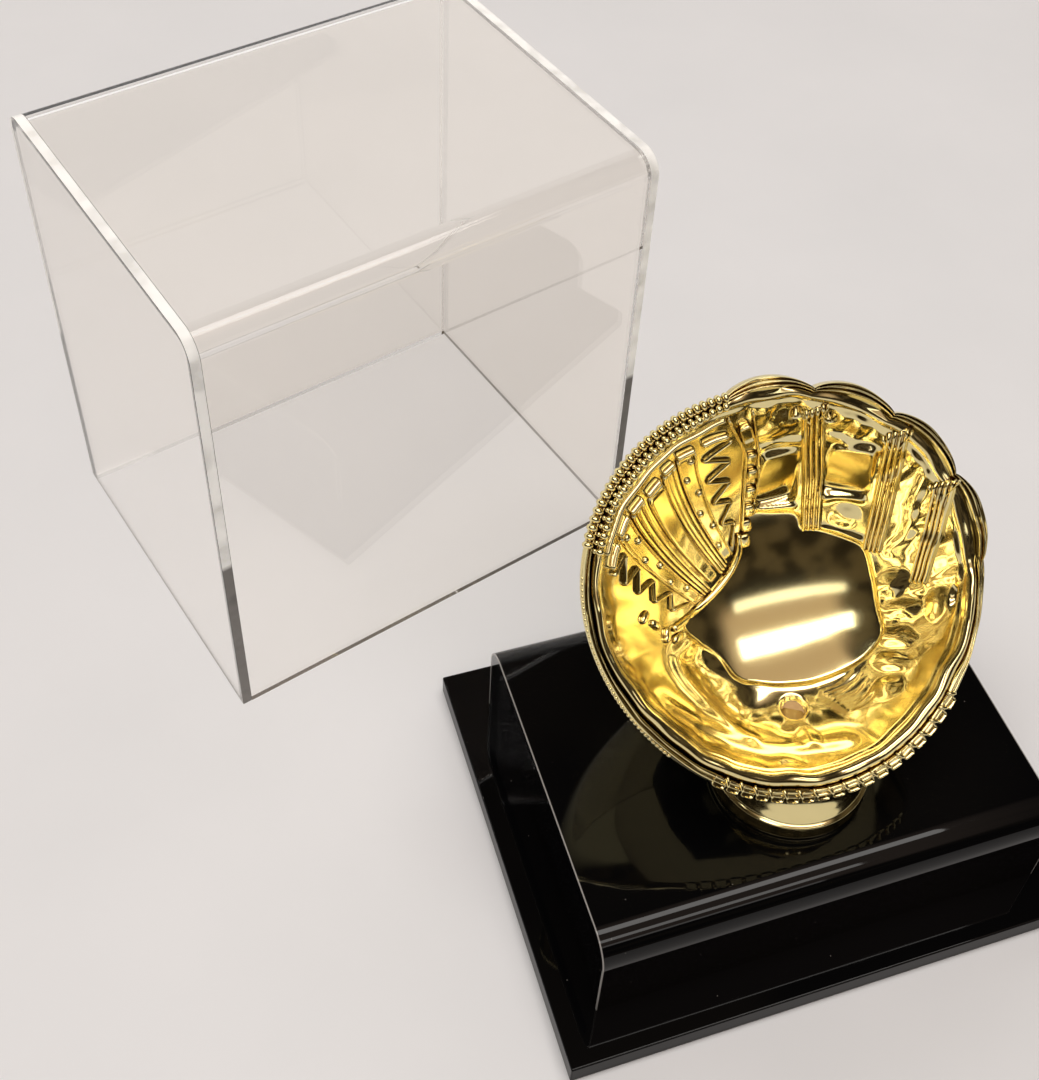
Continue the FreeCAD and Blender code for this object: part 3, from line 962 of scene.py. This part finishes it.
# %% The web's fan
web_edge_angle = 129.0
web_edge_turn = 16.5
web_edge_reach = 50.0
web_welt = curve_through([(-22.5, -3.6), (-19.5, -3), (-14, -1.5), (-8, 1.5), (-3, 5.5), (0, 10), (0.6, 15)], 0.4)
web_steps = way_along(web_welt)
web_middle = 0.56 * web_steps[-1]
web_foot_pitch = 6.1
web_drawn_in = 3.0


def web_point(over, down):
    """A point of the sheet from its place across and down the web."""
    over, down = np.broadcast_arrays(np.asarray(over, float), np.asarray(down, float))
    drawn_in = web_drawn_in * np.sin(np.pi * np.maximum(over, 0) / 2)
    angle = np.radians(web_edge_angle - web_edge_turn * over + drawn_in)
    along = web_middle + web_foot_pitch * over
    foot_x = np.interp(along, web_steps, web_welt[:, 0])
    foot_y = np.interp(along, web_steps, web_welt[:, 1])
    x = web_edge_reach * np.cos(angle) * (1 - down) + foot_x * down
    y = web_edge_reach * np.sin(angle) * (1 - down) + foot_y * down
    return np.stack((x, y), -1)


def strap(over, top, bottom, width_top, width_bottom, height, crown):
    """A strap that runs down the web."""
    steps = 60
    down = np.linspace(top, bottom, steps)
    return rib(web_point(over, down), np.linspace(width_top, width_bottom, steps), height, crown)


print("the welt is", round(web_steps[-1], 1), "mm long")

# %% [markdown]
# A broad strap runs down the middle of the web. On each side of it follow three narrow straps, a flat one with
# piped edges and two rows of studs, and an open lattice of lace. Short ties bind their tops to the beaded edge.

# %% Web
narrow_straps = ((0.39, 1.7), (0.53, 2.3), (0.68, 1.7))
narrowing = 0.42
edge_ties = ((-0.24, 0.24, 0.1), (0.34, 0.72, 0.07), (0.8, 1.22, 0.05), (1.35, 1.85, 0.05))
stud_rows = (1.1, 0.92)
stud_places = (0.13, 0.27, 0.41, 0.55, 0.69, 0.83)
lattice_rows = (1.92, 1.34)
lattice_teeth = 9
lattice_top, lattice_length = 0.1, 0.82
web_straps = [strap(0, 0.13, 0.95, 7.4, 2.9, 0.8, 10)]
web_laces = []
web_studs = []
for side in (-1, 1):
    for over, width in narrow_straps:
        web_straps.append(strap(side * over, 0.09, 0.97, width, narrowing * width, 0.85, 3))
    web_straps.append(strap(side * 1.0, 0.07, 0.95, 5.6, 2.5, 0.5, 8))
    for over in (0.81, 1.21):
        web_straps.append(strap(side * over, 0.07, 0.96, 1.0, 0.6, 0.8, 2))
    for start, end, down in edge_ties:
        if side > 0 or start > 0:
            line = web_point(np.linspace(side * start, side * end, 24), down)
            web_straps.append(rib(line, 1.7, 1.2, crown=3))
    for number, down in enumerate(stud_places):
        web_studs.append(web_point(side * stud_rows[number % 2], down))
    teeth = [web_point(side * lattice_rows[number % 2], lattice_top + lattice_length * number / lattice_teeth)
             for number in range(lattice_teeth + 1)]
    for start, end in zip(teeth, teeth[1:]):
        web_laces.append(rib(np.linspace(start, end, 16), 1.05, 1.0))
glove_piece("glove_web_straps", web_straps)
glove_piece("glove_web_lattice", web_laces)
web_border = [rib(web_welt, 1.9, 1.3)]
cord_reach = 53.6
arc = np.radians(np.linspace(101, 157, 120))
web_border.append(rib(np.stack((cord_reach * np.cos(arc), cord_reach * np.sin(arc)), 1), 1.1, 0.9))
glove_piece("glove_web_border", web_border)

# %% [markdown]
# Beads, studs, knots and the blocks of the lacing are lumps: a ball whose sides can be squared up until it is a
# cushioned block, and whose top can be dented. One form with two settings stands for all of them, and each lump
# stands on its own three axes.


# %% Lumps
def lump(centre, half_axes, squareness=1.0, dent=0.0):
    """A rounded body on three half axes; squareness 1 is an egg and towards 0 a block."""
    rows, columns = (17, 32) if dent else (11, 20)
    polar = np.linspace(0, np.pi, rows)[1:-1, None]
    turn = full_turn(columns)[None, :]

    def swell(value):
        return np.sign(value) * np.abs(value) ** squareness

    flat = swell(np.sin(polar))
    tall = np.broadcast_to(swell(np.cos(polar)), (rows - 2, columns))
    tall = tall - dent * (tall > 0) * smooth_step(0.75 - np.sin(polar), 0.0, 0.2)
    body = np.stack((flat * swell(np.cos(turn)), flat * swell(np.sin(turn)), tall), -1)
    axes = np.asarray(half_axes)
    return skin(centre + body @ axes, first=centre + axes[2] * (1 - dent), last=centre - axes[2])


def palm_axes(place, heading, sizes, lift=0.0):
    """Centre and half axes of a lump on the palm, turned to a heading on the sheet in degrees."""
    x, y = np.array([place[0]]), np.array([place[1]])
    centre, normal = palm_point(x, y, np.array([lift]))
    turn = math.radians(heading)
    ahead = palm_point(x + 0.3 * math.cos(turn), y + 0.3 * math.sin(turn), np.array([lift]))[0] - centre
    ahead = unit(ahead - normal * np.sum(ahead * normal))
    side = np.cross(normal, ahead)
    return centre[0], np.array((ahead[0] * sizes[0], side[0] * sizes[1], normal[0] * sizes[2]))


def rim_axes(angle, inset, tips, lift, sizes, slant=0.0):
    """Centre and half axes of a lump on the rim: along it, across it and out of the mouth."""
    angle = np.array([angle])
    centre = rim_point(angle, inset, tips, np.array([lift]))[0]
    ahead = unit(rim_point(angle + 0.002, inset, tips, np.array([lift]))[0] - centre)
    side = np.cross(outward, ahead)
    turned = ahead * math.cos(slant) + side * math.sin(slant)
    square = np.cross(outward, turned)
    return centre, np.array((turned * sizes[0], square * sizes[1], outward * sizes[2]))


print("lumps ready")

# %% [markdown]
# Studs sit on the web's flat straps. Beads run along its outer edge in three rows, the second and third set
# between the beads of the first, as knots of lace are.

# %% Studs and beads
studs = [lump(*palm_axes(place, 0, (0.95, 0.95, 0.9), lift=0.5)) for place in web_studs]
glove_piece("glove_web_studs", studs)

beads = []
bead_count = 26
bead_start, bead_pitch = 100.5, 2.2
inner_row = 0.72
for number in range(bead_count):
    angle = math.radians(bead_start + bead_pitch * number)
    between = angle + math.radians(bead_pitch / 2)
    inner = lip_inset(np.array([angle]))[0] * inner_row
    for place, inset, lift, sizes in ((angle, 0.5, 1.3, (0.92, 1.3, 1.25)),
                                      (between, inner, 2.2, (0.85, 1.05, 0.95)),
                                      (between, 2.0, 1.9, (0.62, 0.5, 0.6))):
        beads.append(lump(*rim_axes(place, inset, 0.0, lift, sizes)))
glove_piece("glove_web_beads", beads)

# %% [markdown]
# A chain of dented blocks with slanted ties runs under the heel's rim, where a real glove is laced, and a row of
# stitches runs along the thumb's outer edge.

# %% Lacing and stitches
lacing = []
lace_blocks = 18
lace_start, lace_pitch = 236.5, 4.6
for number in range(lace_blocks):
    angle = math.radians(lace_start + lace_pitch * number)
    between = angle + math.radians(lace_pitch / 2)
    lacing.append(lump(*rim_axes(angle, 0.9, 0.0, 0.9, (1.5, 1.25, 1.1)), squareness=0.35, dent=0.75))
    lacing.append(lump(*rim_axes(between, 1.6, 0.0, 1.6, (0.42, 1.25, 0.8), slant=0.5), squareness=0.7))
glove_piece("glove_heel_lacing", lacing)

stitches = []
stitch_count = 38
stitch_start, stitch_pitch = 164.0, 1.5
for number in range(stitch_count):
    angle = math.radians(stitch_start + stitch_pitch * number)
    stitches.append(lump(*rim_axes(angle, 0.25, 0.0, 0.9, (0.5, 0.42, 0.45), slant=0.3)))
glove_piece("glove_thumb_stitches", stitches)

# %% [markdown]
# A lace with knots runs down between the web and the first finger, and a short one ends loose at the thumb. Two
# thin ribs are its strands, and lumps along them are its knots.

# %% Lace beside the first finger
knot_places = ((1.2, 38.8), (2.4, 33.3), (2.8, 27.2), (2.9, 21.6), (2.6, 16.8), (1.9, 13))
loose_knots = (((-21.5, -6.0), 20), ((-24.8, -4.6), 70), ((-28.0, -1.2), 140), ((-31.5, 1.6), 40))
lace = [rib(curve_through([(-9.5, 53), (-4.5, 46.5), (-0.8, 40.5), (0.6, 33), (1.2, 25), (1.4, 16)]), 1.0, 1.0),
        rib(curve_through([(-2, 54), (0.8, 47), (2.8, 41), (4, 34), (4.6, 26), (4.3, 19.5)]), 1.0, 0.9)]
lace.append(lump(*palm_axes((-2.2, 47.5), 118, (3.4, 1.4, 1.1), lift=0.3), squareness=0.35, dent=0.5))
for place in knot_places:
    lace.append(lump(*palm_axes(place, 95, (1.7, 1.25, 1.0), lift=0.3), squareness=0.5))
for place, heading in loose_knots:
    lace.append(lump(*palm_axes(place, heading, (1.9, 1.0, 0.9), lift=0.2), squareness=0.8))
glove_piece("glove_finger_lace", lace)

# %% [markdown]
# The floor of the pocket's hole is a thin round of the bare plastic behind it. It is a piece of its own, because
# its finish differs from the gold round it.

# %% Hole floor
floor_points = 48
floor_profile = ((2.2, 0.12), (2.75, 0.12), (2.75, -0.2), (2.2, -0.2))
floor_turn = full_turn(floor_points)
floor_rings = []
for reach, lift in floor_profile:
    x = hole_place[0] + reach * np.cos(floor_turn)
    y = hole_place[1] + reach * np.sin(floor_turn)
    floor_rings.append(palm_point(x, y, np.full(floor_points, lift))[0])
glove_piece("glove_hole_floor", [skin(np.array(floor_rings))], bare_plastic)

# %% [markdown]
# The stem is a turned form: a foot that leans inwards, a thin bead round it and a waist that runs up into the
# glove. A Screw modifier could turn the profile, but the glove is not level, so each ring has to stop inside its
# wall, wherever that is.

# %% Stem
stem_low, stem_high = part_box("glove_stem")
stem_axis = np.array((stem_low.x + stem_high.x, stem_low.y + stem_high.y)) / 2 / mm
stem_foot = curve_through([(18.3, 0.1), (18.9, 0.5), (18.5, 1.8), (17.9, 3.5)], 0.15)
stem_bead = curve_through([(18.2, 3.6), (18.75, 4.1), (18.2, 4.6)], 0.1)
stem_waist = curve_through([(17.8, 4.7), (16.9, 7.0), (16.0, 10.0), (15.8, 13.0), (16.4, 16.0)], 0.2)
stem_sink = 2.8
stem_points = 160
stem_turn = full_turn(stem_points)
stem_rings = []
for reach, height in np.vstack((stem_foot, stem_bead, stem_waist)):
    x = stem_axis[0] + reach * np.cos(stem_turn)
    y = stem_axis[1] + reach * np.sin(stem_turn)
    off_centre = (x - pocket_centre[0]) ** 2 + (y - pocket_centre[1]) ** 2
    wall_height = pocket_centre[2] - np.sqrt((pocket_radius + stem_sink) ** 2 - off_centre)
    stem_rings.append(np.stack((x, y, np.minimum(riser_top + height, wall_height)), -1))
stem = glove_piece("glove_stem_turned", [skin(np.array(stem_rings))])
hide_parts("glove_stem")

# %% [markdown]
# The stage starts with a table top of pale laminate. It reaches far beyond the view, because the gold and the
# acrylic mirror it out to the horizon, and it takes the object's shadow.

# %% Table
table_half = 20.0
table_drop = 0.1 * mm


def make_table():
    top, tree, place = new_material("pale laminate")
    mottle = add(tree, "TexNoise", [("Vector", place), ("Scale", per_metre(60)), ("Detail", 5.0)])
    colour = add(tree, "Mix", [(0, mottle.outputs["Fac"]), (6, linear("#E8E9EB")), (7, linear("#F2F2F4"))],
                 data_type="RGBA")
    shader = add(tree, "BsdfPrincipled", [("Base Color", colour.outputs[2]), ("Roughness", 0.5)])
    add(tree, "OutputMaterial", [("Surface", shader.outputs["BSDF"])])
    return top


table_mesh = bpy.data.meshes.new("table_top")
table_corners = [(x * table_half, y * table_half, -table_drop) for x, y in ((-1, -1), (1, -1), (1, 1), (-1, 1))]
table_mesh.from_pydata(table_corners, [], [(0, 1, 2, 3)])
table_mesh.materials.append(make_table())
table = bpy.data.objects.new("table_top", table_mesh)
bpy.context.scene.collection.objects.link(table)
print(table.name, 2 * table_half, "m wide")

# %% [markdown]
# Three long soft lamps hang over the table, one above and two towards the front. Long lamps draw long streaks in
# polished metal and along the acrylic's bends. Small ones would leave dots.

# %% Lamps
lamp_target = np.array((0.0, 0.1, 0.05))
for name, place, length, width, power in (("lamp_above", (-0.3, 0.0, 2.6), 3.0, 0.7, 32.5),
                                          ("lamp_middle", (-0.33, -1.64, 2.6), 3.05, 0.46, 17.5),
                                          ("lamp_front", (-0.28, -1.94, 1.6), 2.35, 0.2, 2.4)):
    lamp = bpy.data.lights.new(name, "AREA")
    lamp.shape = "RECTANGLE"
    lamp.size = length
    lamp.size_y = width
    lamp.energy = power
    lamp.color = linear("#FFFDFA")[:3]
    hung = bpy.data.objects.new(name, lamp)
    hung.location = place
    aim = np.array(place) - lamp_target
    hung.rotation_euler = (math.atan2(-aim[1], aim[2]), 0.0, 0.0)
    bpy.context.scene.collection.objects.link(hung)
    print(name, length, "by", width, "m")

# %% [markdown]
# The world is the studio round the table: a beige ceiling, a white wall behind, and a dim, mottled room elsewhere,
# which gives the metal something dark to show. It is drawn by direction. One measure is how far a direction has
# risen from the front over the top to the back, and the other how far it leans to the right.

# %% World
world = bpy.data.worlds.new("studio")
bpy.context.scene.world = world
world.use_nodes = True
sky = world.node_tree
sky.nodes.clear()
aimed = add(sky, "TexCoord").outputs["Generated"]
along = add(sky, "SeparateXYZ", [(0, aimed)])
forward = add(sky, "Math", [(0, along.outputs["Y"]), (1, -1.0)], operation="MULTIPLY")
rise = add(sky, "Math", [(0, along.outputs["Z"]), (1, forward.outputs["Value"])],
           operation="ARCTAN2").outputs["Value"]
across_it = along.outputs["X"]

# Soft edges in the studio: measure, start, end, share before and share after
studio_edges = {"ceiling_front": (rise, math.radians(34), math.radians(44), 0.0, 1.0),
                "ceiling_back": (rise, math.radians(98), math.radians(110), 1.0, 0.0),
                "ceiling_left": (across_it, -0.52, -0.38, 0.0, 1.0),
                "ceiling_right": (across_it, 0.38, 0.52, 1.0, 0.0),
                "wall": (rise, math.radians(126), math.radians(140), 0.0, 1.0)}
inside = {}
for name, (measure, start, end, before, after) in studio_edges.items():
    fade = add(sky, "MapRange", [("Value", measure), ("From Min", start), ("From Max", end), ("To Min", before),
                                 ("To Max", after)], interpolation_type="SMOOTHSTEP")
    inside[name] = fade.outputs["Result"]
ceiling = inside["ceiling_front"]
for name in ("ceiling_back", "ceiling_left", "ceiling_right"):
    ceiling = add(sky, "Math", [(0, ceiling), (1, inside[name])], operation="MULTIPLY").outputs["Value"]
blur = add(sky, "TexNoise", [("Vector", aimed), ("Scale", 5.0), ("Detail", 2.0)])
mottle = add(sky, "MapRange", [("Value", blur.outputs["Fac"]), ("From Min", 0.42), ("From Max", 0.58)],
             interpolation_type="SMOOTHSTEP")
room = add(sky, "Mix", [(0, mottle.outputs["Result"]), (6, linear("#221D17")), (7, linear("#51473A"))],
           data_type="RGBA")
overhead = add(sky, "Mix", [(0, ceiling), (6, room.outputs[2]), (7, linear("#C0A999"))],
               data_type="RGBA")
shade = add(sky, "Mix", [(0, inside["wall"]), (6, overhead.outputs[2]), (7, linear("#FFFDFC"))],
            data_type="RGBA")
glow = add(sky, "Background", [("Color", shade.outputs[2]), ("Strength", 1.0)])
add(sky, "OutputWorld", [("Surface", glow.outputs["Background"])])
print(world.name, "with", len(sky.nodes), "nodes")

# %% [markdown]
# The camera stands where the photograph was taken from. Its lens and shift were found from the straight edges of
# the cover and the base.

# %% Camera
lens = bpy.data.cameras.new("camera")
lens.sensor_width = 36.0
lens.lens = 51.2
lens.shift_x = -0.0514
lens.shift_y = -0.1435
lens.clip_start = 0.01
camera = bpy.data.objects.new("camera", lens)
camera.location = (-0.12811, -0.16842, 0.34864)
camera.rotation_euler = [math.radians(turn) for turn in (44.714, -3.717, -18.826)]
bpy.context.scene.collection.objects.link(camera)
bpy.context.scene.camera = camera
bpy.context.scene.view_settings.view_transform = "Standard"
print(camera.name, lens.lens, "mm")

# %% [markdown]
# Last, the view layer is brought up to date, so every piece stands where its body puts it.

# %% Bring the scene up to date
bpy.context.view_layer.update()
